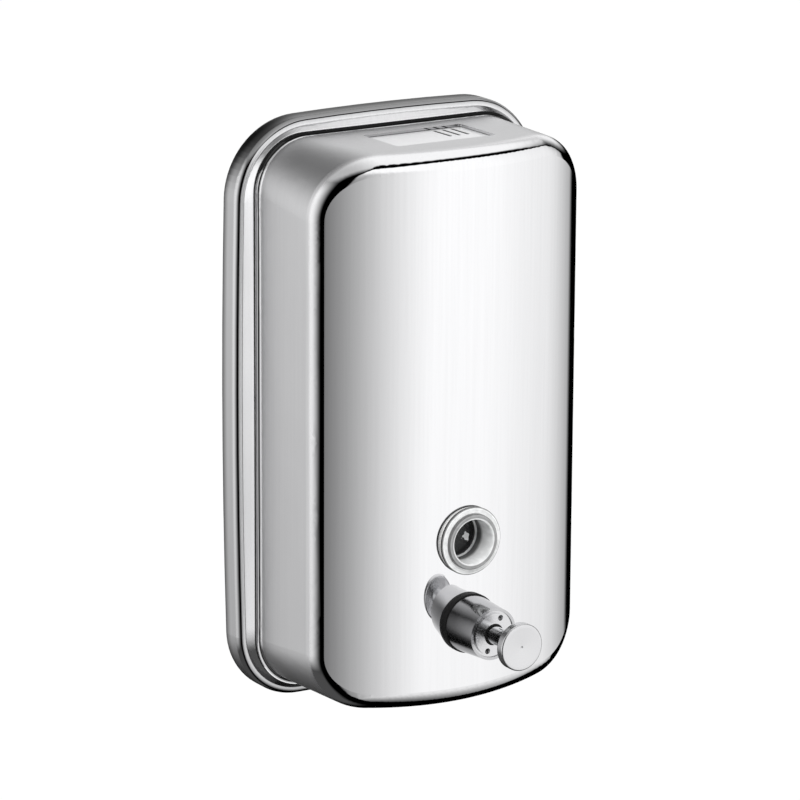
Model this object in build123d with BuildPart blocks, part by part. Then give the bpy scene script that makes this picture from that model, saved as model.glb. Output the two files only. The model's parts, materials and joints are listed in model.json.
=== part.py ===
from build123d import *
from math import cos, pi, sin, sqrt
import os

# Wall mounted soap dispenser, in millimetres.
# +Z is up, the front faces -Y and the wall is the plane Y = 0.
# The origin is the centre of the wall bracket's four screws, on the wall.

# Casing
sheet = 0.8  # stainless sheet of the shell, the pan and the lid rails
pan_width = 122.0  # across the middle of its bowed sides
pan_height = 203.0
pan_side_bow = 1.8  # bulge of the pan's sides between the corners
pan_top_bow = 1.7
pan_bottom_bow = 1.1
pan_top_corner = 27.5
pan_bottom_corner = 24.5
pan_depth = 10.8  # from the wall to the face of the brim
pan_edge_round = 2.5
brim_fall = 1.1  # the brim slopes back this far, from the shell's seat to the bend
brim_land = 0.1  # flat edge between the bend and the slope
rim_round = 4.0  # the skirt's rear rim turns in on this radius
rim_reach = 2.0  # how far behind the wall that turn would close
side_brim = 7.9  # ledge of the pan beside the shell
top_brim = 6.4
bottom_brim = 4.8
foot_width = 1.4  # narrow flange that the shell stands on
foot_round = 1.2
seal_thickness = 0.9  # rubber seal between the shell's foot and the pan
seal_inset = 0.2
top_corner = 18.0  # corners of the shell where it meets the seal
bottom_corner = 17.0
front_corner_gain = 5.4  # growth of those corners from the seal to the crown
bottom_bow = 3.5  # droop of the shell's lower edge
crown_depth = 60.3  # from the wall to the crown of the bowed front
bow_radius = 107.0
front_edge_round = 6.6

# Filler mouth and its sliding lid
mouth_length = 39.0
mouth_from_wall = 21.0
mouth_setback = 17.3  # from the crown back to the mouth's front edge
mouth_shift = 1.5  # middle of the mouth, to the right of the shell's middle
mouth_corner = 1.2
lid_thickness = 1.0
lid_overlap = 2.2  # how far the lid reaches under the top, all round
lid_corner = 1.5
lid_gap = 0.25  # running gap round the lid
grip_count = 3
grip_pitch = 3.5
grip_length = 11.5
grip_width = 1.2
grip_depth = 0.6
grip_offset = 11.5  # middle of the grips, to the right of the mouth's middle
grip_setback = 0.7  # from the mouth's rear edge to the grips
rail_flange = 2.2  # width of the rail's welded flange
rail_end_setback = 4.0  # from where the corner's round starts to the rail's left end

# Wall bracket and the hanger that hooks over it
plate = 1.5
inside_bend = 1.0
bracket_width = 60.0
bracket_height = 70.0
bracket_corner = 4.0
screw_spacing_x = 40.0
screw_spacing_z = 44.0
screw_hole_radius = 2.5
tongue_standoff = 5.0  # from the wall to the back of the bracket's tongue
tongue_height = 13.0
hanger_width = 56.0
hanger_flange = 15.0
hanger_hook = 11.0  # how far the hanger reaches down behind the tongue
hook_gap = 1.2
hang_gap = 0.05

# Pump valve; its stations run forward from the crown of the front
valve_height = 34.0  # axis above the pan's lower edge
ring_radius = 10.35
ring_thickness = 1.4
barrel_rear_radius = 9.9
barrel_front_radius = 9.0
barrel_length = 14.1
barrel_edge = 0.4
cylinder_radius = 8.0
cylinder_bore = 5.5
thread_fit = 0.05  # radial clearance of pieces that screw or press together
hole_fit = 0.3  # radial clearance of the holes in the shell
cap_thickness = 3.0
cap_proud = 0.4
cap_groove_width = 0.7
cap_groove_depth = 0.9
pin_hole_radius = 1.0
pin_hole_depth = 1.6
pin_circle_radius = 6.0
pin_tilt = 25.0  # degrees from upright
wiper_width = 0.6
wiper_length = 1.5
wiper_sink = 0.2
tank_gasket_radius = 12.5
tank_gasket_thickness = 2.0
lock_nut_flats = 24.0
lock_nut_thickness = 6.0
nut_edge = 0.8
outlet_radius = 2.45
outlet_bore = 1.1
outlet_setback = 3.1  # from the back of the cap to the outlet's axis

# Plunger
rod_radius = 3.1
running_gap = 0.05  # radial clearance of the sliding pieces
rod_stub_radius = 2.0
rod_neck_radius = 2.2
rod_neck_length = 1.6
rod_seat_depth = 2.3  # how far the rod enters the button
button_radius = 8.1
button_thickness = 3.4
button_reach = 13.5  # free rod between cap and button
button_round = 0.6
button_dish = 0.25
button_land = 1.3  # flat rim round the dished face
button_mark_radius = 0.5
stop_gap = 0.2  # between the piston's hub and the cap at rest
hub_radius = 4.2
hub_length = 7.0
piston_length = 4.5
piston_gap = 0.1
ring_groove_depth = 1.0
ring_groove_width = 2.2
ring_groove_setback = 1.1

# Return spring
spring_radius = 4.3  # to the middle of the wire
wire_radius = 0.4
spring_length = 19.0
spring_turns = 6
spring_end_gap = 0.05

# Inlet check valve
inlet_flange = 2.5
spigot_length = 5.0
inlet_radius = 1.5
inlet_wall = 1.2  # straight length of the inlet hole
cage_gap = 0.3
cage_lip = 0.9
cage_lip_radius = 1.8
cage_slot_width = 1.2
ball_radius = 2.4
ball_seat_gap = 0.05

# Sight window
window_rise = 29.0  # from the valve's axis to the window's
window_radius = 11.8
window_flange = 1.0
window_round = 0.5
window_step_radius = 9.6
window_step = 1.4
window_stem_radius = 9.0
window_bore = 7.7
window_recess = 10.5
window_floor = 2.0
window_gasket_radius = 11.4
window_gasket_thickness = 0.8
window_washer_radius = 12.3
window_washer_thickness = 1.5
window_nut_radius = 12.3
window_nut_thickness = 5.0
nut_notch_radius = 1.5
nut_notch_count = 6

# Places worked out from the sizes above
pan_top = pan_height / 2
pan_bottom = -pan_top
half_width = pan_width / 2 - side_brim
shell_top = pan_top - top_brim
shell_bottom = pan_bottom + bottom_brim
top_inside = shell_top - sheet
panel_back = pan_depth - sheet
bend_depth = pan_depth - brim_fall
brim_start = pan_edge_round + brim_land
foot_back = pan_depth + seal_thickness
valve_z = pan_bottom + valve_height
window_z = valve_z + window_rise
mouth_front = crown_depth - mouth_setback
mouth_width = mouth_front - mouth_from_wall
mouth_y = -(mouth_from_wall + mouth_width / 2)
grip_y = -(mouth_from_wall + grip_setback + grip_length / 2)
lid_length = mouth_length + 2 * lid_overlap
lid_top = top_inside - lid_gap
barrel_end = ring_thickness + barrel_length
cap_front = barrel_end + cap_proud
cap_back = cap_front - cap_thickness
outlet_station = cap_back - outlet_setback
button_back = cap_front + button_reach
button_face = button_back + button_thickness
hub_front = cap_back - stop_gap
piston_front = hub_front - hub_length
piston_back = piston_front - piston_length
inlet_front = piston_back - spring_length
cylinder_back = inlet_front - spigot_length
inlet_back = cylinder_back - inlet_flange
seat_start = inlet_back + inlet_wall
cage_radius = ball_radius + cage_gap
cage_front = inlet_front - cage_lip
socket_radius = cylinder_radius + thread_fit
window_socket = window_stem_radius + thread_fit
bow_centre_y = bow_radius - crown_depth


def bow_drop(radius):
    """How far the bowed front falls back at a distance from its crown line."""
    return bow_radius - sqrt(bow_radius**2 - radius**2)


def front_plane(forward, height):
    """Plane that faces the viewer, at a station forward of the crown."""
    return Plane(origin=(0, -crown_depth - forward, height), x_dir=(1, 0, 0), z_dir=(0, -1, 0))


def turning_plane(height):
    """Half section of a turned piece: local x runs forward and local y is the radius."""
    return Plane(origin=(0, -crown_depth, height), x_dir=(0, -1, 0), z_dir=(-1, 0, 0))


def turning_axis(height):
    """Axis of the turned pieces at a height, pointing forward."""
    return Axis((0, -crown_depth, height), (0, -1, 0))


def pan_outline(distance, grow):
    """Front outline of the pan, grown outwards, as a face at a distance from the wall."""
    side = pan_width / 2 - pan_side_bow
    high = pan_top - pan_top_bow
    low = pan_bottom + pan_bottom_bow
    with BuildSketch(Plane.XZ.offset(distance)) as face:
        with BuildLine():
            ThreePointArc((-side, low), (-pan_width / 2, 0), (-side, high))
            ThreePointArc((-side, high), (0, pan_top), (side, high))
            ThreePointArc((side, high), (pan_width / 2, 0), (side, low))
            ThreePointArc((side, low), (0, pan_bottom), (-side, low))
        make_face()
        fillet(face.vertices().group_by(Axis.Y)[-1], pan_top_corner)
        fillet(face.vertices().group_by(Axis.Y)[0], pan_bottom_corner)
        if grow:
            offset(amount=grow)
    return face.sketch


def shell_outline(distance, grow, corner_gain):
    """Front outline of the shell, grown outwards, as a face at a distance from the wall."""
    side_foot = shell_bottom + bottom_bow
    with BuildSketch(Plane.XZ.offset(distance)) as face:
        with BuildLine():
            Polyline(
                (-half_width, side_foot),
                (-half_width, shell_top),
                (half_width, shell_top),
                (half_width, side_foot),
            )
            ThreePointArc((half_width, side_foot), (0, shell_bottom), (-half_width, side_foot))
        make_face()
        fillet(face.vertices().group_by(Axis.Y)[-1], top_corner + corner_gain)
        fillet(face.vertices().group_by(Axis.Y)[0], bottom_corner + corner_gain)
        if grow:
            offset(amount=grow)
    return face.sketch


def shell_form(inset):
    """Solid form of the shell, inset from its outer surface: widening corners, bowed front, rounded edge."""
    with BuildPart() as form:
        loft(
            [
                shell_outline(foot_back, -inset, 0).face(),
                shell_outline(crown_depth, -inset, front_corner_gain).face(),
            ],
            ruled=True,
        )
        with Locations((0, bow_centre_y, 0)):
            Cylinder(bow_radius - inset, pan_height, mode=Mode.INTERSECT)
        front = form.faces().sort_by(Axis.Y)[0]
        fillet(front.edges(), front_edge_round - inset)
    return form.part


def pan_form(inset):
    """Solid form of the pan, inset from its outer surface: rim, skirt, bend and sloping brim."""
    bend = bend_depth - inset
    with BuildPart() as form:
        extrude(pan_outline(inset - rim_reach, -inset), amount=bend + rim_reach - inset)
        face = form.faces().sort_by(Axis.Y)[0]
        fillet(face.edges(), pan_edge_round - inset)
        rear = form.faces().sort_by(Axis.Y)[-1]
        fillet(rear.edges(), rim_round - inset)
        loft(
            [
                pan_outline(bend, -brim_start).face(),
                shell_outline(pan_depth - inset, foot_width, 0).face(),
            ],
            ruled=True,
        )
        split(bisect_by=Plane.XZ, keep=Keep.TOP)
    return form.part


def ring(start, end, inner, outer, height):
    """Plain turned ring between two stations."""
    with BuildPart() as body:
        with BuildSketch(front_plane(start, height)):
            Circle(outer)
            Circle(inner, mode=Mode.SUBTRACT)
        extrude(amount=end - start)
    return body.part


# Shell, with its filler mouth and the holes for window and valve
outer_form = shell_form(0)
inner_form = shell_form(sheet)
hole_depth = 2 * sheet + bow_drop(window_radius)
with BuildPart() as front_shell:
    add(outer_form)
    extrude(shell_outline(foot_back, foot_width, 0), amount=sheet)
    ledge_y = -(foot_back + sheet)
    ledge = front_shell.faces().filter_by(Plane.XZ).sort_by(lambda face: abs(face.center().Y - ledge_y))[0]
    fillet(ledge.inner_wires().edges(), foot_round)
    add(inner_form, mode=Mode.SUBTRACT)
    with BuildSketch(Plane.XY.offset(shell_top)):
        with Locations((mouth_shift, mouth_y)):
            RectangleRounded(mouth_length, mouth_width, mouth_corner)
    extrude(amount=-2 * sheet, mode=Mode.SUBTRACT)
    with BuildSketch(Plane.XZ.offset(crown_depth)):
        with Locations((0, valve_z)):
            Circle(cylinder_radius + hole_fit)
        with Locations((0, window_z)):
            Circle(window_stem_radius + hole_fit)
    extrude(amount=-hole_depth, mode=Mode.SUBTRACT)

# Pan behind the shell: its panel closes the tank and its skirt stands on the wall
outer_pan = pan_form(0)
inner_pan = pan_form(sheet)
with BuildPart() as back_pan:
    add(outer_pan)
    add(inner_pan, mode=Mode.SUBTRACT)

# Seal between the shell's foot and the pan's brim
with BuildPart() as shell_seal:
    extrude(shell_outline(pan_depth, foot_width - seal_inset, 0), amount=seal_thickness)
    extrude(shell_outline(pan_depth, -sheet, 0), amount=seal_thickness, mode=Mode.SUBTRACT)

# Channels under the top that carry the lid, with an end stop on the right
channel_floor = lid_top - lid_thickness - lid_gap
channel_wall = mouth_front + lid_overlap + lid_gap
rail_left = -(half_width - top_corner - front_corner_gain - rail_end_setback)
stop_left = mouth_shift + lid_length / 2 + lid_gap
stop_right = stop_left + sheet
with BuildPart() as lid_rail_front:
    with BuildSketch(Plane.YZ.offset(rail_left)):
        with BuildLine():
            Polyline(
                (-mouth_front, channel_floor),
                (-channel_wall, channel_floor),
                (-channel_wall, top_inside),
                (-channel_wall - rail_flange, top_inside),
            )
            offset(amount=sheet, side=Side.LEFT, kind=Kind.INTERSECTION)
        make_face()
    extrude(amount=stop_right - rail_left)
    with BuildSketch(Plane.YZ.offset(stop_left)):
        with Locations((-mouth_front, channel_floor)):
            Rectangle(
                channel_wall - mouth_front,
                top_inside - channel_floor,
                align=(Align.MAX, Align.MIN),
            )
    extrude(amount=sheet)
with BuildPart() as lid_rail_rear:
    mirror(lid_rail_front.part, about=Plane.XZ.offset(-mouth_y))

# Sliding lid with its grip slots
with BuildPart() as filler_lid:
    with BuildSketch(Plane.XY.offset(lid_top)):
        with Locations((mouth_shift, mouth_y)):
            RectangleRounded(lid_length, mouth_width + 2 * lid_overlap, lid_corner)
    extrude(amount=-lid_thickness)
    with BuildSketch(Plane.XY.offset(lid_top)):
        with Locations((mouth_shift + grip_offset, grip_y)):
            with GridLocations(grip_pitch, 0, grip_count, 1):
                SlotOverall(grip_length, grip_width, rotation=90)
    extrude(amount=-grip_depth, mode=Mode.SUBTRACT)

# Wall bracket: flat plate with a raised tongue above it
tongue_foot = bracket_height / 2 + tongue_standoff
tongue_top = tongue_foot + tongue_height
with BuildPart() as wall_bracket:
    with BuildSketch(Plane.YZ):
        with BuildLine():
            FilletPolyline(
                (0, -bracket_height / 2),
                (0, bracket_height / 2),
                (-tongue_standoff, tongue_foot),
                (-tongue_standoff, tongue_top),
                radius=[inside_bend + plate, inside_bend],
            )
            offset(amount=plate, side=Side.LEFT)
        make_face()
    extrude(amount=bracket_width / 2, both=True)
    fillet(wall_bracket.edges().filter_by(Axis.Y).group_by(Axis.Z)[0], bracket_corner)
    fillet(wall_bracket.edges().filter_by(Axis.Y).group_by(Axis.Z)[-1], bracket_corner)
    with BuildSketch(Plane.XZ):
        with GridLocations(screw_spacing_x, screw_spacing_z, 2, 2):
            Circle(screw_hole_radius)
    extrude(amount=plate, mode=Mode.SUBTRACT)

# Hanger welded to the back of the panel, hooked over the bracket's tongue
hanger_seat = tongue_top + hang_gap
hook_front = tongue_standoff - hook_gap
with BuildPart() as hanger_plate:
    with BuildSketch(Plane.YZ):
        with BuildLine():
            FilletPolyline(
                (-panel_back, hanger_seat + hanger_flange),
                (-panel_back, hanger_seat),
                (-hook_front, hanger_seat),
                (-hook_front, hanger_seat - hanger_hook),
                radius=[inside_bend + plate, inside_bend],
            )
            offset(amount=plate, side=Side.LEFT)
        make_face()
    extrude(amount=hanger_width / 2, both=True)
    fillet(hanger_plate.edges().filter_by(Axis.Y).group_by(Axis.Z)[0], bracket_corner)
    fillet(hanger_plate.edges().filter_by(Axis.Y).group_by(Axis.Z)[-1], bracket_corner)

# Black rubber ring under the barrel, saddle shaped behind to fit the bowed front
with BuildPart() as valve_gasket:
    add(ring(-bow_drop(ring_radius), ring_thickness, socket_radius, ring_radius, valve_z))
    with Locations((0, bow_centre_y, valve_z)):
        Cylinder(bow_radius, 2 * ring_radius, mode=Mode.SUBTRACT)

# Outlet hole, straight down from the valve's axis, with room for the rubber nozzle
with BuildPart() as outlet_hole:
    with BuildSketch(Plane.XY.offset(valve_z)):
        with Locations((0, -crown_depth - outlet_station)):
            Circle(outlet_radius + thread_fit)
    extrude(amount=-ring_radius)

# Tapered barrel
with BuildPart() as valve_barrel:
    with BuildSketch(turning_plane(valve_z)):
        with BuildLine():
            Polyline(
                (ring_thickness, socket_radius),
                (ring_thickness, barrel_rear_radius - barrel_edge),
                (ring_thickness + barrel_edge, barrel_rear_radius),
                (barrel_end, barrel_front_radius),
                (barrel_end, socket_radius),
                close=True,
            )
        make_face()
    revolve(axis=turning_axis(valve_z))
    add(outlet_hole.part, mode=Mode.SUBTRACT)

# Cylinder: threaded outside, with the piston's bore inside
with BuildPart() as pump_cylinder:
    add(ring(cylinder_back, cap_back, cylinder_bore, cylinder_radius, valve_z))
    add(outlet_hole.part, mode=Mode.SUBTRACT)

# Gland cap in the barrel's mouth, stepped at its edge, with two pin spanner holes and a seat for the wiper
rod_bore = rod_radius + running_gap
with BuildPart() as barrel_cap:
    add(ring(cap_back, cap_front - cap_groove_depth, rod_bore, cylinder_radius, valve_z))
    add(ring(cap_back, cap_front, rod_bore, cylinder_radius - cap_groove_width, valve_z))
    with BuildSketch(front_plane(cap_front, valve_z)):
        with PolarLocations(pin_circle_radius, 2, start_angle=90 - pin_tilt):
            Circle(pin_hole_radius)
    extrude(amount=-pin_hole_depth, mode=Mode.SUBTRACT)
    with BuildSketch(front_plane(cap_front, valve_z)):
        Circle(rod_bore + wiper_width)
    extrude(amount=-wiper_length - wiper_sink, mode=Mode.SUBTRACT)

# Wiper ring round the rod
wiper_front = cap_front - wiper_sink
with BuildPart() as rod_seal:
    add(ring(wiper_front - wiper_length, wiper_front, rod_bore, rod_bore + wiper_width, valve_z))

# Rubber nozzle in the underside of the barrel
barrel_slope = (barrel_rear_radius - barrel_front_radius) / (barrel_length - barrel_edge)
nozzle_end = barrel_front_radius + barrel_slope * (barrel_end - outlet_station - outlet_radius)
with BuildPart() as outlet_valve:
    with BuildSketch(Plane.XY.offset(valve_z - nozzle_end)):
        with Locations((0, -crown_depth - outlet_station)):
            Circle(outlet_radius)
            Circle(outlet_bore, mode=Mode.SUBTRACT)
    extrude(amount=nozzle_end - cylinder_bore - piston_gap)

# Gasket and lock nut that clamp the valve from inside the tank
inside_crown = -sheet
gasket_back = inside_crown - tank_gasket_thickness
with BuildPart() as tank_gasket:
    add(ring(gasket_back, inside_crown, socket_radius, tank_gasket_radius, valve_z))
    with Locations((0, bow_centre_y, valve_z)):
        Cylinder(bow_radius - sheet, 2 * tank_gasket_radius, mode=Mode.INTERSECT)
with BuildPart() as lock_nut:
    with BuildSketch(front_plane(gasket_back, valve_z)):
        RegularPolygon(lock_nut_flats / 2, 6, major_radius=False)
        Circle(socket_radius, mode=Mode.SUBTRACT)
    extrude(amount=-lock_nut_thickness)
    chamfer(lock_nut.faces().sort_by(Axis.Y)[-1].outer_wire().edges(), nut_edge)

# Inlet cap with the ball's seat and cage
seat_depth = cage_radius - inlet_radius
with BuildPart() as inlet_cap:
    with BuildSketch(turning_plane(valve_z)):
        with BuildLine():
            Polyline(
                (inlet_back, inlet_radius),
                (inlet_back, cylinder_radius),
                (cylinder_back, cylinder_radius),
                (cylinder_back, cylinder_bore - thread_fit),
                (inlet_front, cylinder_bore - thread_fit),
                (inlet_front, cage_lip_radius),
                (cage_front, cage_lip_radius),
                (cage_front, cage_radius),
                (seat_start + seat_depth, cage_radius),
                (seat_start, inlet_radius),
                close=True,
            )
        make_face()
    revolve(axis=turning_axis(valve_z))
    with BuildSketch(front_plane(inlet_front, valve_z)):
        with PolarLocations(0, 2, angular_range=180):
            Rectangle(2 * cage_radius, cage_slot_width)
    extrude(amount=-cage_lip, mode=Mode.SUBTRACT)

# Ball, just clear of its conical seat
ball_station = seat_start - inlet_radius + (ball_radius + ball_seat_gap) * sqrt(2)
with BuildPart() as inlet_ball:
    with Locations((0, -crown_depth - ball_station, valve_z)):
        Sphere(ball_radius)

# Return spring between inlet cap and piston, as pairs of arcs that follow the helix
coil_rise = (spring_length - 2 * wire_radius - 2 * spring_end_gap) / spring_turns
coil_start = inlet_front + spring_end_gap + wire_radius


def coil_point(turn):
    """Middle of the spring's wire after some turns."""
    angle = 2 * pi * turn
    forward = crown_depth + coil_start + coil_rise * turn
    return Vector(spring_radius * cos(angle), -forward, valve_z + spring_radius * sin(angle))


def coil_direction(turn):
    """Direction of the spring's wire after some turns."""
    angle = 2 * pi * turn
    reach = 2 * pi * spring_radius
    return Vector(-reach * sin(angle), -coil_rise, reach * cos(angle)).normalized()


def arc_joint(start, start_way, end, end_way):
    """Point where two arcs meet that leave start and reach end along the given directions."""
    span = end - start
    ways = start_way + end_way
    bend = 2 * (1 - start_way.dot(end_way))
    reach = (sqrt(span.dot(ways) ** 2 + bend * span.dot(span)) - span.dot(ways)) / bend
    return (start + end + (start_way - end_way) * reach) / 2


with BuildPart() as return_spring:
    with BuildLine() as coil:
        for half_turn in range(2 * spring_turns):
            turn_start = half_turn / 2
            turn_end = turn_start + 1 / 2
            start = coil_point(turn_start)
            start_way = coil_direction(turn_start)
            end = coil_point(turn_end)
            joint = arc_joint(start, start_way, end, coil_direction(turn_end))
            first_arc = TangentArc(start, joint, tangent=start_way)
            TangentArc(joint, end, tangent=first_arc % 1)
    with BuildSketch(Plane(origin=coil.line @ 0, z_dir=coil.line % 0)):
        Circle(wire_radius)
    sweep()

# Piston with its hub, and the ring in its groove
groove_front = piston_front - ring_groove_setback
groove_back = groove_front - ring_groove_width
piston_radius = cylinder_bore - piston_gap
groove_radius = piston_radius - ring_groove_depth
with BuildPart() as piston:
    with BuildSketch(turning_plane(valve_z)):
        with BuildLine():
            Polyline(
                (piston_back, rod_stub_radius + thread_fit),
                (piston_back, piston_radius),
                (groove_back, piston_radius),
                (groove_back, groove_radius),
                (groove_front, groove_radius),
                (groove_front, piston_radius),
                (piston_front, piston_radius),
                (piston_front, hub_radius),
                (hub_front, hub_radius),
                (hub_front, rod_stub_radius + thread_fit),
                close=True,
            )
        make_face()
    revolve(axis=turning_axis(valve_z))
with BuildPart() as piston_ring:
    add(
        ring(
            groove_back + thread_fit,
            groove_front - thread_fit,
            groove_radius + thread_fit,
            cylinder_bore - running_gap,
            valve_z,
        )
    )

# Rod: a stub through the piston, the polished shank and the neck that holds the button
rod_tip = button_back + rod_seat_depth
with BuildPart() as plunger_rod:
    with BuildSketch(turning_plane(valve_z)):
        with BuildLine():
            Polyline(
                (piston_back, 0),
                (piston_back, rod_stub_radius),
                (hub_front, rod_stub_radius),
                (hub_front, rod_radius),
                (button_back - rod_neck_length, rod_radius),
                (button_back, rod_neck_radius),
                (rod_tip, rod_neck_radius),
                (rod_tip, 0),
                close=True,
            )
        make_face()
    revolve(axis=turning_axis(valve_z))

# Turned button: rounded rim, dished face and a centre mark
neck_socket = rod_neck_radius + thread_fit
with BuildPart() as push_button:
    with BuildSketch(turning_plane(valve_z)) as profile:
        with BuildLine():
            Polyline(
                (rod_tip, 0),
                (rod_tip, neck_socket),
                (button_back, neck_socket),
                (button_back, button_radius),
                (button_face, button_radius),
                (button_face, button_radius - button_land),
                (button_face - button_dish, button_mark_radius),
                (button_face - 2 * button_dish, 0),
                close=True,
            )
        make_face()
        fillet(profile.vertices().group_by(Axis.Y)[-1], button_round)
    revolve(axis=turning_axis(valve_z))

# Window: saddle gasket under the flange, clear stepped plug, and washer and nut inside the tank
with BuildPart() as window_gasket:
    add(
        ring(
            -bow_drop(window_gasket_radius),
            window_gasket_thickness,
            window_socket,
            window_gasket_radius,
            window_z,
        )
    )
    with Locations((0, bow_centre_y, window_z)):
        Cylinder(bow_radius, 2 * window_gasket_radius, mode=Mode.SUBTRACT)
flange_front = window_gasket_thickness + window_flange
step_front = flange_front + window_step
recess_floor = step_front - window_recess
with BuildPart() as window_lens:
    with BuildSketch(turning_plane(window_z)) as profile:
        with BuildLine():
            Polyline(
                (recess_floor - window_floor, 0),
                (recess_floor - window_floor, window_stem_radius),
                (window_gasket_thickness, window_stem_radius),
                (window_gasket_thickness, window_radius),
                (flange_front, window_radius),
                (flange_front, window_step_radius),
                (step_front, window_step_radius),
                (step_front, window_bore),
                (recess_floor, window_bore),
                (recess_floor, 0),
                close=True,
            )
        make_face()
        fillet(profile.vertices().group_by(Axis.Y)[-1].sort_by(Axis.X)[-1], window_round)
        fillet(profile.vertices().group_by(Axis.X)[-1], window_round)
    revolve(axis=turning_axis(window_z))
washer_back = inside_crown - window_washer_thickness
with BuildPart() as window_washer:
    add(ring(washer_back, inside_crown, window_socket, window_washer_radius, window_z))
    with Locations((0, bow_centre_y, window_z)):
        Cylinder(bow_radius - sheet, 2 * window_washer_radius, mode=Mode.INTERSECT)
with BuildPart() as window_nut:
    with BuildSketch(front_plane(washer_back, window_z)):
        Circle(window_nut_radius)
        Circle(window_socket, mode=Mode.SUBTRACT)
        with PolarLocations(window_nut_radius, nut_notch_count):
            Circle(nut_notch_radius, mode=Mode.SUBTRACT)
    extrude(amount=-window_nut_thickness)

pieces = {
    "wall_bracket": wall_bracket,
    "hanger_plate": hanger_plate,
    "back_pan": back_pan,
    "front_shell": front_shell,
    "shell_seal": shell_seal,
    "lid_rail_front": lid_rail_front,
    "lid_rail_rear": lid_rail_rear,
    "filler_lid": filler_lid,
    "window_gasket": window_gasket,
    "window_lens": window_lens,
    "window_washer": window_washer,
    "window_nut": window_nut,
    "valve_gasket": valve_gasket,
    "valve_barrel": valve_barrel,
    "barrel_cap": barrel_cap,
    "rod_seal": rod_seal,
    "outlet_valve": outlet_valve,
    "pump_cylinder": pump_cylinder,
    "tank_gasket": tank_gasket,
    "lock_nut": lock_nut,
    "inlet_cap": inlet_cap,
    "inlet_ball": inlet_ball,
    "return_spring": return_spring,
    "piston": piston,
    "piston_ring": piston_ring,
    "plunger_rod": plunger_rod,
    "push_button": push_button,
}
os.makedirs("parts", exist_ok=True)
for name, piece in pieces.items():
    piece.part.label = name
    export_step(piece.part, f"parts/{name}.step")
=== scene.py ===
import json
from math import cos, radians, sin, tau

import bmesh
import bpy
from mathutils import Matrix, Vector


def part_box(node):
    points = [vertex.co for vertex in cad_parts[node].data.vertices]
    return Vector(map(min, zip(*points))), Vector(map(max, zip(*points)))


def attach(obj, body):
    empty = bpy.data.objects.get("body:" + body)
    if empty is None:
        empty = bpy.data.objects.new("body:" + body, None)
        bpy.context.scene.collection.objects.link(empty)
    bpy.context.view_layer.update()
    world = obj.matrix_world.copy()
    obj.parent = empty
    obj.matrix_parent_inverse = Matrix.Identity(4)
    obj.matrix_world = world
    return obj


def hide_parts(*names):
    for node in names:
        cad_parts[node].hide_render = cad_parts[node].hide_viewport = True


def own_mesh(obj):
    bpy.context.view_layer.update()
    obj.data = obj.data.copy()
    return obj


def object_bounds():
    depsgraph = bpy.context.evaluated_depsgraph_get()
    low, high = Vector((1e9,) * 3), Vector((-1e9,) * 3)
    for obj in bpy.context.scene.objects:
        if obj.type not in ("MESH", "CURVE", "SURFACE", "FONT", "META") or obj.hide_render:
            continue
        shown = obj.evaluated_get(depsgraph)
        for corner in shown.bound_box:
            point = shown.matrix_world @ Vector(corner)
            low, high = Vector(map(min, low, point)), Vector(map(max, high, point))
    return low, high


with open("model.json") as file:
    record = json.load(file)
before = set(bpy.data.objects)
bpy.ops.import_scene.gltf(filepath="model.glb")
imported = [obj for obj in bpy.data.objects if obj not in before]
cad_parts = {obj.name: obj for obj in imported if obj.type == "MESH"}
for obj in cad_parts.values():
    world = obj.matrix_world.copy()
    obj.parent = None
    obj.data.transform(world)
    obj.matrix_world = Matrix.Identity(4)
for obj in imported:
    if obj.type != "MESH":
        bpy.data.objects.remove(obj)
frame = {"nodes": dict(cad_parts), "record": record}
cad_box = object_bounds()
nodes = frame["nodes"]
scene = bpy.context.scene
MM = 0.001
ACROSS = (1.0, 0.0, 1.0)  # keeps X and Z of a place or a direction, and drops its depth


# Node helpers

def add_node(tree, kind, inputs=(), **settings):
    """A shader node with its settings, and its inputs set or linked."""
    node = tree.nodes.new(kind)
    for name, value in settings.items():
        setattr(node, name, value)
    for key, value in dict(inputs).items():
        if isinstance(value, bpy.types.NodeSocket):
            tree.links.new(value, node.inputs[key])
        else:
            node.inputs[key].default_value = value
    return node


def calc(tree, operation, *values):
    """Output of a Math node."""
    return add_node(tree, "ShaderNodeMath", enumerate(values), operation=operation).outputs[0]


def vector(tree, operation, *values):
    """Vector that a Vector Math node gives."""
    node = add_node(tree, "ShaderNodeVectorMath", enumerate(values), operation=operation)
    return node.outputs["Vector"]


def measure(tree, operation, *values):
    """Number that a Vector Math node gives."""
    node = add_node(tree, "ShaderNodeVectorMath", enumerate(values), operation=operation)
    return node.outputs["Value"]


def parts(tree, value):
    """X, Y and Z of a vector."""
    return add_node(tree, "ShaderNodeSeparateXYZ", {0: value}).outputs


def product(tree, *values):
    """Product of several values."""
    result = values[0]
    for value in values[1:]:
        result = calc(tree, "MULTIPLY", result, value)
    return result


def inverse(tree, value):
    """One less a value."""
    return calc(tree, "SUBTRACT", 1.0, value)


def lessen(tree, full, value, share):
    """A full value less a share of another."""
    return calc(tree, "SUBTRACT", full, calc(tree, "MULTIPLY", value, share))


def mix(tree, share, first, second):
    """Value between two values by a share."""
    return calc(tree, "ADD", first, calc(tree, "MULTIPLY", share, calc(tree, "SUBTRACT", second, first)))


def ramp(tree, value, low, high, start=0.0, end=1.0):
    """Smooth ramp of a value from start, at low, to end, at high."""
    inputs = {"Value": value, "From Min": low, "From Max": high, "To Min": start, "To Max": end}
    node = add_node(tree, "ShaderNodeMapRange", inputs, interpolation_type="SMOOTHSTEP")
    return node.outputs["Result"]


def spot(tree):
    """Object coordinates, and their X, Y and Z apart."""
    place = add_node(tree, "ShaderNodeTexCoord").outputs["Object"]
    return place, parts(tree, place)


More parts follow.
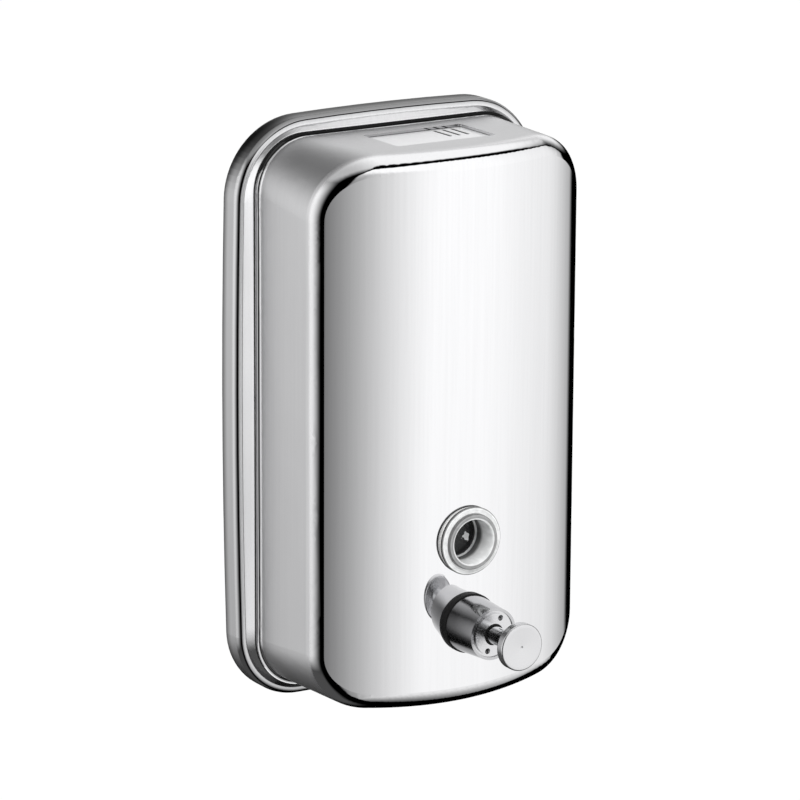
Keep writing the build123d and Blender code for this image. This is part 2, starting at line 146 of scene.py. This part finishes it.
def noise(tree, scale, stretch=(1.0, 1.0, 1.0), detail=3.0):
    """Noise in object space, stretched along the axes."""
    place, _ = spot(tree)
    stretched = add_node(tree, "ShaderNodeMapping", {"Vector": place, "Scale": stretch})
    inputs = {"Vector": stretched.outputs["Vector"], "Scale": scale, "Detail": detail}
    return add_node(tree, "ShaderNodeTexNoise", inputs).outputs["Fac"]


def vary(tree, cloud, mean, swing, low=0.2, high=0.8):
    """Value that swings about its mean with a cloud of noise."""
    return ramp(tree, cloud, low, high, mean * (1.0 - swing), mean * (1.0 + swing))


def shade(tree, value, dark, light):
    """Colour between two shades by a value."""
    node = add_node(tree, "ShaderNodeMix", data_type="RGBA")
    sockets = {socket.name: socket for socket in node.inputs if socket.enabled}
    tree.links.new(value, sockets["Factor"])
    sockets["A"].default_value = (*dark, 1.0)
    sockets["B"].default_value = (*light, 1.0)
    return next(socket for socket in node.outputs if socket.enabled)


def bump(tree, height, strength, distance):
    """Normal of a height, with its depth in metres."""
    inputs = {"Height": height, "Strength": strength, "Distance": distance}
    return add_node(tree, "ShaderNodeBump", inputs).outputs["Normal"]


def bands(tree, value, stops):
    """Tone that runs through stops of a place from 0 to 1 and a tone."""
    node = add_node(tree, "ShaderNodeValToRGB", {"Fac": value})
    elements = node.color_ramp.elements
    while len(elements) < len(stops):
        elements.new(1.0)
    for element, (place, tone) in zip(elements, stops):
        element.position = place
        element.color = (tone, tone, tone, 1.0)
    return node.outputs["Color"]


def radius_about(tree, middle):
    """Distance from an axis that points forward through a place."""
    place, _ = spot(tree)
    offset = vector(tree, "SUBTRACT", place, middle)
    return measure(tree, "LENGTH", vector(tree, "MULTIPLY", offset, ACROSS))


def forward(tree):
    """How far a surface faces the front, from -1 to 1."""
    normal = add_node(tree, "ShaderNodeNewGeometry").outputs["Normal"]
    return calc(tree, "MULTIPLY", parts(tree, normal)["Y"], -1.0)


def new_material(name):
    """Empty material, its node tree and its output's surface socket."""
    material = bpy.data.materials.new(name)
    material.use_nodes = True
    tree = material.node_tree
    tree.nodes.clear()
    output = add_node(tree, "ShaderNodeOutputMaterial")
    return material, tree, output.inputs["Surface"]


def show(tree, surface, inputs):
    """Put a principled shader with these inputs on a material's surface."""
    shader = add_node(tree, "ShaderNodeBsdfPrincipled", inputs)
    tree.links.new(shader.outputs["BSDF"], surface)


# Materials

def steel(name, dark, light, roughness, bends, face, grain_depth, metal=1.0):
    """Stainless sheet, satin and finely brushed upright, and polished where it faces forward enough.

    roughness is that of the sides, of the bends and of the face; bends and face say between which
    forward facings each one takes over.
    """
    material, tree, surface = new_material(name)
    side_roughness, bend_roughness, face_roughness = roughness
    facing = forward(tree)
    on_sides = inverse(tree, ramp(tree, facing, *bends))
    on_face = ramp(tree, facing, *face)
    brushing = noise(tree, 900.0, (1.0, 1.0, 0.02), detail=4.0)
    cloud = noise(tree, 18.0)
    side_gain = calc(tree, "MULTIPLY", on_sides, side_roughness - bend_roughness)
    face_gain = calc(tree, "MULTIPLY", on_face, face_roughness - bend_roughness)
    mean = calc(tree, "ADD", calc(tree, "ADD", side_gain, face_gain), bend_roughness)
    show(tree, surface, {
        "Base Color": shade(tree, brushing, dark, light),
        "Metallic": metal,
        "Roughness": calc(tree, "MULTIPLY", mean, vary(tree, cloud, 1.0, 0.08, 0.3, 0.7)),
        "Normal": bump(tree, calc(tree, "MULTIPLY", brushing, mean), 1.0, grain_depth),
    })
    return material


def turned(name, dark, light, roughness, middle, ring_pitch, ring_depth):
    """Metal faced on a lathe: fine rings round an axis that points forward."""
    material, tree, surface = new_material(name)
    radius = radius_about(tree, middle)
    waves = calc(tree, "SINE", calc(tree, "MULTIPLY", radius, tau / ring_pitch))
    rings = calc(tree, "MULTIPLY", waves, ramp(tree, radius, 2 * ring_pitch, 6 * ring_pitch))
    cloud = noise(tree, 90.0)
    show(tree, surface, {
        "Base Color": shade(tree, cloud, dark, light),
        "Metallic": 1.0,
        "Roughness": vary(tree, cloud, roughness, 0.15),
        "Normal": bump(tree, rings, 0.5, ring_depth),
    })
    return material


def plated(name, dark, light, roughness):
    """Plating over a polished casting, with faint waves and pits."""
    material, tree, surface = new_material(name)
    cloud = noise(tree, 120.0)
    show(tree, surface, {
        "Base Color": shade(tree, cloud, dark, light),
        "Metallic": 1.0,
        "Roughness": vary(tree, cloud, roughness, 0.2),
        "Normal": bump(tree, cloud, 0.3, 0.004 * MM),
    })
    return material


def moulded(name, dark, light, roughness, grain_scale, grain_depth, gloss=0.5):
    """Moulded rubber or plastic with a fine surface grain."""
    material, tree, surface = new_material(name)
    grain = noise(tree, grain_scale)
    show(tree, surface, {
        "Base Color": shade(tree, grain, dark, light),
        "Roughness": vary(tree, grain, roughness, 0.1),
        "Specular IOR Level": gloss,
        "Normal": bump(tree, grain, 0.5, grain_depth),
    })
    return material


# Painted reflections and shade of the clear plastic: tones across the flange, up the well's wall, and across
# its floor
flange_painted_tones = (
    (0.655, 0.85), (0.685, 0.80), (0.715, 0.24), (0.785, 0.34), (0.808, 0.10),
    (0.830, 1.00), (0.925, 0.80), (0.955, 1.00), (0.980, 0.25), (1.000, 0.14),
)
wall_painted_tones = (
    (0.02, 1.0), (0.05, 0.9), (0.08, 0.10), (0.28, 0.16), (0.42, 0.80), (0.9, 0.95), (1.0, 1.0),
)
floor_painted_tones = ((0.0, 0.04), (0.93, 0.06), (0.96, 0.8), (1.0, 0.8))


def clear_plastic(middle, outer, bore, rim_y, recess):
    """Clear moulded plastic: painted reflections and shade as pale and dark rings in its flange and in its
    well's wall, and a clear floor painted dark, with a painted highlight round its edge and a painted glint.
    """
    material, tree, surface = new_material("clear_plastic_moulded")
    place, axes = spot(tree)
    radius = radius_about(tree, middle)
    floor_y = rim_y + recess
    height = calc(tree, "DIVIDE", calc(tree, "SUBTRACT", floor_y, axes["Y"]), recess)
    flow = noise(tree, 420.0, (1.0, 0.4, 1.0))
    # Painted reflections and shade: rings of tone across the flange and up the well's wall, darker toward the
    # floor
    face = bands(tree, calc(tree, "DIVIDE", radius, outer), flange_painted_tones)
    wall = bands(tree, height, wall_painted_tones)

    # A ragged glint on the floor, low and to the right of its middle
    glint = Vector((middle.x + bore / 2, floor_y, middle.z - bore / 5))
    from_glint = measure(tree, "DISTANCE", place, glint)
    ragged = calc(tree, "ADD", from_glint, calc(tree, "MULTIPLY", flow, 7.0 * MM))
    shine = ramp(tree, ragged, 4.5 * MM, 5.0 * MM, 1.0, 0.0)
    floor = calc(tree, "MAXIMUM", bands(tree, calc(tree, "DIVIDE", radius, bore), floor_painted_tones), shine)

    on_floor = ramp(tree, height, 0.01, 0.03, 1.0, 0.0)
    on_flange = ramp(tree, radius, bore + 0.02 * MM, bore + 0.1 * MM)
    tone = mix(tree, on_flange, mix(tree, on_floor, wall, floor), face)
    mottled = calc(tree, "MULTIPLY", tone, ramp(tree, flow, 0.35, 0.65, 0.84, 1.0))
    # Painted shade: faces that turn away from the front are darker
    painted_dark_edges = ramp(tree, forward(tree), 0.0, 0.85, 0.35, 1.0)
    painted_edge_tone = calc(tree, "MAXIMUM", painted_dark_edges, inverse(tree, on_flange))
    clear = calc(tree, "MULTIPLY", on_floor, calc(tree, "SUBTRACT", 0.8, floor))
    colour = calc(tree, "MULTIPLY", mottled, painted_edge_tone)
    show(tree, surface, {
        "Base Color": shade(tree, colour, (0.02, 0.02, 0.02), (0.98, 0.99, 0.99)),
        "Roughness": ramp(tree, flow, 0.2, 0.8, 0.05, 0.12),
        "IOR": 1.49,
        "Transmission Weight": clear,
        "Normal": bump(tree, flow, 0.4, 0.02 * MM),
    })
    return material


def principled(material):
    """A material's main shader node."""
    shader = "ShaderNodeBsdfPrincipled"
    return next(node for node in material.node_tree.nodes if node.bl_idname == shader)


def tint(material, tone):
    """Scale a material's colour by a tone."""
    tree = material.node_tree
    socket = principled(material).inputs["Base Color"]
    colour = socket.links[0].from_socket
    tree.links.new(vector(tree, "MULTIPLY", colour, tone), socket)


def lean_outward(material, corner_middle, share, lean):
    """Lean a material's normal away from the middle of a plate with rounded corners, by a share of a lean."""
    tree = material.node_tree
    socket = principled(material).inputs["Normal"]
    normal = socket.links[0].from_socket
    place, _ = spot(tree)
    flat = vector(tree, "MULTIPLY", place, ACROSS)
    past = vector(tree, "SUBTRACT", vector(tree, "ABSOLUTE", flat), corner_middle)
    unit = vector(tree, "NORMALIZE", vector(tree, "MAXIMUM", past, (0.0, 0.0, 0.0)))
    outward = vector(tree, "MULTIPLY", unit, vector(tree, "SIGN", flat))
    facet = add_node(tree, "ShaderNodeNewGeometry").outputs["True Normal"]
    leaned = vector(tree, "ADD", facet, vector(tree, "MULTIPLY", outward, lean))
    change = vector(tree, "SUBTRACT", vector(tree, "NORMALIZE", leaned), normal)
    total = vector(tree, "ADD", normal, vector(tree, "MULTIPLY", change, share))
    tree.links.new(vector(tree, "NORMALIZE", total), socket)


button_low, button_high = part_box("push_button")
window_low, window_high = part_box("window_lens")
window_recess = 10.5 * MM
window_bore = 7.7 * MM
finishes = {
    "polished_steel": steel(
        "polished_steel_sheet",
        dark=(0.77, 0.77, 0.78),
        light=(0.83, 0.83, 0.84),
        roughness=(0.42, 0.03, 0.03),
        bends=(0.16, 0.44),
        face=(0.9, 1.0),
        grain_depth=0.01 * MM,
    ),
    "satin_steel": steel(
        "satin_steel_sheet",
        dark=(0.72, 0.72, 0.73),
        light=(0.80, 0.80, 0.81),
        roughness=(0.34, 0.07, 0.24),
        bends=(0.05, 0.3),
        face=(0.9, 0.96),
        grain_depth=0.01 * MM,
    ),
    "bright_steel": steel(
        "bright_steel_sheet",
        dark=(0.88, 0.88, 0.89),
        light=(0.92, 0.92, 0.93),
        roughness=(0.34, 0.34, 0.34),
        bends=(0.2, 0.6),
        face=(0.9, 1.0),
        grain_depth=0.01 * MM,
        metal=0.5,
    ),
    "mill_steel": steel(
        "mill_steel_sheet",
        dark=(0.56, 0.56, 0.57),
        light=(0.68, 0.68, 0.69),
        roughness=(0.38, 0.34, 0.34),
        bends=(0.2, 0.8),
        face=(0.9, 1.0),
        grain_depth=0.02 * MM,
    ),
    "turned_steel": turned(
        "turned_steel_face",
        dark=(0.64, 0.64, 0.65),
        light=(0.70, 0.70, 0.71),
        roughness=0.22,
        middle=(button_low + button_high) / 2,
        ring_pitch=0.25 * MM,
        ring_depth=0.002 * MM,
    ),
    "spring_steel": plated(
        "spring_steel_wire",
        dark=(0.46, 0.46, 0.47),
        light=(0.58, 0.58, 0.59),
        roughness=0.22,
    ),
    "chrome": plated(
        "chrome_plate",
        dark=(0.79, 0.80, 0.81),
        light=(0.85, 0.86, 0.87),
        roughness=0.05,
    ),
    "clear_plastic": clear_plastic(
        middle=(window_low + window_high) / 2,
        outer=(window_high.x - window_low.x) / 2,
        bore=window_bore,
        rim_y=window_low.y,
        recess=window_recess,
    ),
    "white_plastic": moulded(
        "white_plastic_moulded",
        dark=(0.82, 0.82, 0.80),
        light=(0.88, 0.88, 0.86),
        roughness=0.42,
        grain_scale=700.0,
        grain_depth=0.01 * MM,
    ),
    "black_rubber": moulded(
        "black_rubber_moulded",
        dark=(0.008, 0.008, 0.008),
        light=(0.020, 0.020, 0.020),
        roughness=0.50,
        grain_scale=900.0,
        grain_depth=0.02 * MM,
        gloss=0.12,
    ),
    "pale_silicone": moulded(
        "pale_silicone_moulded",
        dark=(0.84, 0.84, 0.83),
        light=(0.90, 0.90, 0.89),
        roughness=0.45,
        grain_scale=600.0,
        grain_depth=0.01 * MM,
    ),
}

# Painted shade: the grip slots in the bright lid are darkened below its face
grip_shade_top = 0.1 * MM  # below the lid's face
grip_shade_depth = 0.25 * MM
lid_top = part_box("filler_lid")[1].z
tree = finishes["bright_steel"].node_tree
lid_height = spot(tree)[1]["Z"]
tint(finishes["bright_steel"], ramp(tree, lid_height, lid_top - grip_shade_depth, lid_top - grip_shade_top, 0.03, 1.0))

# Painted shade: the pan is darkened toward the wall and on top. Painted light: its brim is lightened, less so
# on top.
# Its brim is also shaded as if it sloped back more steeply than the solid does, to catch what the
# photographed brim reflects.
pan_corner = 27.5 * MM
skirt_shade_reach = 4.5 * MM  # reach of the painted shade from the wall
skirt_unshaded, skirt_shaded = 0.86, 0.1
top_shade_reach = 3.0 * MM  # how much further the painted shade reaches on top
top_shade_loss = 0.62
brim_painted_light, brim_top_light_loss = 1.2, 0.9
brim_front, brim_back = 1.0 * MM, 1.15 * MM  # behind the pan's face, where the brim's painted light and leaned shading end
brim_lean = (1.6, 0.0, 1.0)
pan_low, pan_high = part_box("back_pan")
tree = finishes["satin_steel"].node_tree
place, axes = spot(tree)
facet = add_node(tree, "ShaderNodeNewGeometry").outputs["True Normal"]
facing = parts(tree, facet)
upward = ramp(tree, facing["Z"], 0.1, 0.9)
outer_side = ramp(tree, measure(tree, "DOT_PRODUCT", facet, place), 0.0, 5.0 * MM)
brim = product(
    tree,
    ramp(tree, axes["Y"], pan_low.y + brim_front, pan_low.y + brim_back, 1.0, 0.0),
    ramp(tree, facing["Y"], -0.3, 0.0, 1.0, 0.0),
)
wall_depth = calc(tree, "ADD", axes["Y"], calc(tree, "MULTIPLY", upward, top_shade_reach))
wall_shade_tone = ramp(tree, wall_depth, -skirt_shade_reach, 0.0, skirt_unshaded, skirt_shaded)
outer_shade_tone = calc(tree, "MULTIPLY", wall_shade_tone, lessen(tree, 1.0, upward, top_shade_loss))
skirt_shade_tone = lessen(tree, 1.0, outer_side, inverse(tree, outer_shade_tone))
brim_light_tone = lessen(tree, brim_painted_light, upward, brim_top_light_loss)
tint(finishes["satin_steel"], mix(tree, brim, skirt_shade_tone, brim_light_tone))
corner_middle = (pan_high.x - pan_corner, 0.0, pan_high.z - pan_corner)
lean_outward(finishes["satin_steel"], corner_middle, brim, brim_lean)

# Painted shade: the shell's foot is darkened against its seal, more of it on top
foot_shade_line, foot_shade_line_top = 0.3 * MM, 1.2 * MM
foot_shade_blur = 0.25 * MM
top_from, top_to = 78.0 * MM, 92.0 * MM  # heights between which the painted shade line widens
tree = finishes["polished_steel"].node_tree
_, axes = spot(tree)
foot_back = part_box("front_shell")[1].y
foot_shade_width = ramp(tree, axes["Z"], top_from, top_to, foot_shade_line, foot_shade_line_top)
foot_place = calc(tree, "ADD", calc(tree, "SUBTRACT", axes["Y"], foot_back), foot_shade_width)
tint(finishes["polished_steel"], ramp(tree, foot_place, -foot_shade_blur, 0.0, 1.0, 0.04))

# Painted shade: the rear edge of the mouth above the lid is darkened too
front_bend = -46.0 * MM  # further forward lies the front, which is bright
mouth_shade_blur = 0.1 * MM
mouth_shade_loss = 0.6
mouth_edge_shade = product(
    tree,
    ramp(tree, forward(tree), 0.4, 0.6),
    ramp(tree, axes["Z"], lid_top, lid_top + mouth_shade_blur),
    ramp(tree, axes["Y"], front_bend, front_bend + 1.0 * MM),
)
tint(finishes["polished_steel"], lessen(tree, 1.0, mouth_edge_shade, mouth_shade_loss))

for subpart in frame["record"]["subparts"]:
    piece = nodes[subpart["node"]]
    piece.material_slots[0].material = finishes[subpart["material_slot"]]

# The barrel's plating is duller than the rod's, and the cap's face is turned
nodes["valve_barrel"].material_slots[0].material = plated(
    "chrome_plate_dull",
    dark=(0.44, 0.44, 0.45),
    light=(0.58, 0.58, 0.59),
    roughness=0.16,
)
nodes["barrel_cap"].material_slots[0].material = finishes["turned_steel"]


# Return spring as a round wire helix

def wire_helix(name, start, end, centre, coil_radius, wire_radius, turns, steps=40, sides=12):
    """Closed tube along a helix between two stations on the Y axis."""
    mesh = bmesh.new()
    rings = []
    count = turns * steps + 1
    for index in range(count):
        share = index / (count - 1)
        angle = tau * turns * share
        outward = Vector((cos(angle), 0.0, sin(angle)))
        middle = Vector((centre.x, start + (end - start) * share, centre.z)) + outward * coil_radius
        ring = []
        for side in range(sides):
            tilt = tau * side / sides
            way = outward * cos(tilt) + Vector((0.0, 1.0, 0.0)) * sin(tilt)
            ring.append(mesh.verts.new(middle + way * wire_radius))
        rings.append(ring)
    for near, far in zip(rings, rings[1:]):
        for side in range(sides):
            after = (side + 1) % sides
            mesh.faces.new((near[side], near[after], far[after], far[side]))
    mesh.faces.new(rings[0])
    mesh.faces.new(reversed(rings[-1]))
    bmesh.ops.recalc_face_normals(mesh, faces=mesh.faces)
    data = bpy.data.meshes.new(name)
    mesh.to_mesh(data)
    mesh.free()
    data.shade_smooth()
    piece = bpy.data.objects.new(name, data)
    scene.collection.objects.link(piece)
    return piece


spring_low, spring_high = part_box("return_spring")
wire_radius = 0.4 * MM
spring_turns = 6
spring_middle = (spring_low + spring_high) / 2
coil_radius = (spring_high.x - spring_low.x) / 2 - wire_radius
spring = wire_helix(
    "return_spring_wire",
    spring_high.y - wire_radius,
    spring_low.y + wire_radius,
    spring_middle,
    coil_radius,
    wire_radius,
    spring_turns,
)
spring.data.materials.append(finishes["spring_steel"])
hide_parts("return_spring")
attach(spring, "dispenser")
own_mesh(spring)


# Floor, below the part, which hangs on a wall

floor_drop = 0.18
floor_radius = 4.0
floor_glow = 1.03
floor_glow_share = 0.94  # of what the camera sees; the rest is matt and takes the shadow
floor_mesh = bmesh.new()
bmesh.ops.create_circle(floor_mesh, cap_ends=True, radius=floor_radius, segments=96)
floor_data = bpy.data.meshes.new("floor")
floor_mesh.to_mesh(floor_data)
floor_mesh.free()
floor = bpy.data.objects.new("floor", floor_data)
floor.location.z = cad_box[0][2] - floor_drop
scene.collection.objects.link(floor)
floor.visible_glossy = False
floor.visible_transmission = False

floor_paint, tree, surface = new_material("floor_paint")
ray = add_node(tree, "ShaderNodeLightPath").outputs
matt = add_node(tree, "ShaderNodeBsdfDiffuse", {"Color": (0.92, 0.92, 0.92, 1.0)})
bright = add_node(tree, "ShaderNodeEmission", {"Color": (1.0, 1.0, 1.0, 1.0), "Strength": floor_glow})
share = calc(tree, "MULTIPLY", ray["Is Camera Ray"], floor_glow_share)
shaders = {0: share, 1: matt.outputs["BSDF"], 2: bright.outputs["Emission"]}
mixed = add_node(tree, "ShaderNodeMixShader", shaders)
tree.links.new(mixed.outputs["Shader"], surface)
floor_data.materials.append(floor_paint)


# Studio: a round white panel in front, a dark ring about it, and white walls and a roof beyond the ring.
# Angles are in degrees, with azimuth 0 in front and height 0 level.

def spread(tree, way, azimuth, height):
    """Angle between a ray and a direction."""
    flat = cos(radians(height))
    toward = (sin(radians(azimuth)) * flat, -cos(radians(azimuth)) * flat, sin(radians(height)))
    return calc(tree, "DEGREES", calc(tree, "ARCCOSINE", measure(tree, "DOT_PRODUCT", way, toward)))


panel_azimuth, panel_height = 31.5, -13.0
panel_radius, panel_end = 52.5, 55.0
ring_radius, ring_end = 66.0, 72.0
corner_widening = 6.0  # the ring is wider by this, in and out, toward its upper corners
panel_turn = 32.0  # how far the panel's fade leans over in its upper part
panel_light = 1.24
left_light = 1.1
right_light = 1.05
roof_light = 1.15
glow_light = 0.08

world = bpy.data.worlds.new("studio")
scene.world = world
world.use_nodes = True
tree = world.node_tree
tree.nodes.clear()
way = add_node(tree, "ShaderNodeTexCoord").outputs["Generated"]
axes = parts(tree, way)
frontward = calc(tree, "MULTIPLY", axes["Y"], -1.0)
azimuth = calc(tree, "DEGREES", calc(tree, "ARCTAN2", axes["X"], frontward))
leftward = calc(tree, "MULTIPLY", azimuth, -1.0)
height = calc(tree, "DEGREES", calc(tree, "ARCSINE", axes["Z"]))

from_panel = spread(tree, way, panel_azimuth, panel_height)
upper_left = product(tree, ramp(tree, height, 0.0, 30.0), ramp(tree, axes["X"], -0.3, 0.15, 1.0, 0.0))
upper_right = product(tree, ramp(tree, height, -6.0, 10.0), ramp(tree, axes["X"], 0.7, 0.92))
upper_corners = calc(tree, "ADD", upper_left, upper_right)
widening = calc(tree, "MULTIPLY", upper_corners, corner_widening)
ring_inside = calc(tree, "SUBTRACT", from_panel, widening)
ring_outside = calc(tree, "ADD", from_panel, widening)

turned_azimuth = calc(tree, "ADD", azimuth, ramp(tree, height, 0.0, 30.0, 0.0, panel_turn))
panel_level = calc(
    tree,
    "MINIMUM",
    ramp(tree, turned_azimuth, -42.0, 26.0, 0.0, panel_light),
    ramp(tree, height, -78.0, -6.0, 0.0, panel_light),
)
panel = product(
    tree,
    panel_level,
    ramp(tree, ring_inside, panel_radius, panel_end, 1.0, 0.0),
    ramp(tree, azimuth, 36.0, 76.0, 1.0, 0.84),
    ramp(tree, azimuth, 70.0, 98.0, 1.0, 0.2),
)
left_wall = product(
    tree,
    ramp(tree, leftward, 44.0, 104.0, 0.0, left_light),
    ramp(tree, leftward, 112.0, 150.0, 1.0, 0.70),
    ramp(tree, height, -42.0, -8.0),
    ramp(tree, height, 22.0, 48.0, 1.0, 0.3),
)
right_wall = product(
    tree,
    ramp(tree, azimuth, 84.0, 120.0, 0.0, right_light),
    ramp(tree, azimuth, 152.0, 176.0, 1.0, 0.5),
    ramp(tree, height, 1.0, 17.0),
    ramp(tree, height, 24.0, 40.0, 1.0, 0.75),
)
roof = product(
    tree,
    ramp(tree, height, 24.0, 48.0, 0.0, roof_light),
    ramp(tree, axes["X"], -0.5, 0.3, 0.5, 1.0),
)
rear_gap = ramp(tree, spread(tree, way, -172.0, 34.0), 10.0, 48.0, 0.08, 1.0)
side_walls = calc(tree, "MAXIMUM", left_wall, right_wall)
walls = calc(tree, "MULTIPLY", calc(tree, "MAXIMUM", side_walls, roof), rear_gap)
low_glow = product(
    tree,
    ramp(tree, from_panel, 70.0, 84.0, 0.0, glow_light),
    ramp(tree, height, -40.0, -18.0, 1.0, 0.0),
    ramp(tree, axes["X"], -0.1, 0.25, 1.0, 0.0),
)
past_ring = ramp(tree, ring_outside, ring_radius, ring_end)
beyond = calc(tree, "MULTIPLY", calc(tree, "MAXIMUM", walls, low_glow), past_ring)
light = calc(tree, "ADD", panel, beyond)

# The camera sees plain white, also through the clear plastic
ray = add_node(tree, "ShaderNodeLightPath").outputs
seen = calc(tree, "MAXIMUM", ray["Is Camera Ray"], ray["Is Transmission Ray"])
strength = mix(tree, seen, light, 1.0)
background = add_node(tree, "ShaderNodeBackground", {"Color": (1.0, 1.0, 1.0, 1.0), "Strength": strength})
add_node(tree, "ShaderNodeOutputWorld", {"Surface": background.outputs["Background"]})

key_place = Vector((-0.5, -1.0, 1.4))
key_aim = Vector((0.0, -0.03, 0.0))
key = bpy.data.lights.new("key", "AREA")
key.shape = "DISK"
key.size = 1.2
key.energy = 24.0
key_lamp = bpy.data.objects.new("key", key)
key_lamp.location = key_place
key_lamp.rotation_euler = (key_place - key_aim).to_track_quat("Z", "Y").to_euler()
key_lamp.visible_glossy = False
scene.collection.objects.link(key_lamp)


# Camera, at the photograph's viewing angle

view_azimuth = radians(-32.56)
view_height = radians(14.71)
view_roll = radians(0.3)
view_distance = 1.46
aim = Vector((-5.3, -25.2, 3.0)) * MM
view_level = cos(view_height)
toward = Vector((sin(view_azimuth) * view_level, -cos(view_azimuth) * view_level, sin(view_height)))
camera_data = bpy.data.cameras.new("camera")
camera_data.lens = 193.35
camera_data.sensor_width = 36.0
camera = bpy.data.objects.new("camera", camera_data)
turn = toward.to_track_quat("Z", "Y").to_matrix() @ Matrix.Rotation(view_roll, 3, "Z")
camera.matrix_world = Matrix.Translation(aim + toward * view_distance) @ turn.to_4x4()
scene.collection.objects.link(camera)
scene.camera = camera

scene.view_settings.view_transform = "Standard"
